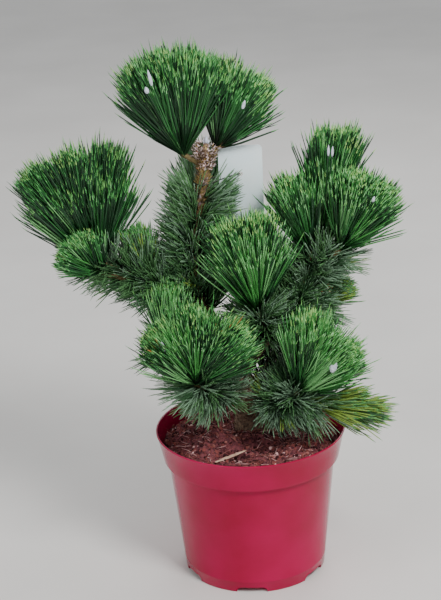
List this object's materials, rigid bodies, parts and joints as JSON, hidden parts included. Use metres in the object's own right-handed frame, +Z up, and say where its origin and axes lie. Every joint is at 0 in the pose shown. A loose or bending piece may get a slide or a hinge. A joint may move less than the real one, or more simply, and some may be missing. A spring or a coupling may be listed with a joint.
{
  "type": "potted dwarf pine",
  "caption": "Young dwarf pine with whisk-like tufts of long needles on a forked leaning stem, in a glossy red nursery pot",
  "frame": {"origin": "the centre of the pot's flat underside", "axes": "+Z up, -Y towards the plant's front as pictured, +X to its right"},
  "size_m": [0.5081, 0.278, 0.7326],
  "materials": {
    "red_plastic": "gloss",
    "peat": "matte",
    "bark": "matte",
    "new_needles": "satin",
    "old_needles": "satin",
    "white_plastic": "matte",
    "tie": "matte"
  },
  "bodies": {
    "root": {"pot": "red_plastic", "soil": "peat", "trunk": "bark", "bough_left": "bark", "bough_left_low": "bark", "bough_front_left": "bark", "bough_right": "bark", "bough_front_right": "bark", "bough_back_left": "bark", "bough_back_right": "bark", "bough_back_high": "bark", "bough_centre": "bark", "bough_right_side": "bark", "tag": "white_plastic", "tag_tie": "tie", "foliage_top_left": "new_needles", "foliage_top_right": "new_needles", "foliage_left": "new_needles", "foliage_left_front": "new_needles", "foliage_left_low": "new_needles", "foliage_front_left": "new_needles", "foliage_centre": "new_needles", "foliage_right_top": "new_needles", "foliage_right_inner": "new_needles", "foliage_right_outer": "new_needles", "foliage_front_right": "new_needles", "foliage_back_left": "new_needles", "foliage_back_right": "new_needles", "foliage_left_inner": "old_needles", "foliage_right_side": "old_needles", "foliage_low_right": "old_needles", "foliage_back_high": "old_needles", "foliage_leader": "old_needles", "foliage_right_sleeve": "old_needles"}
  },
  "joints": []
}
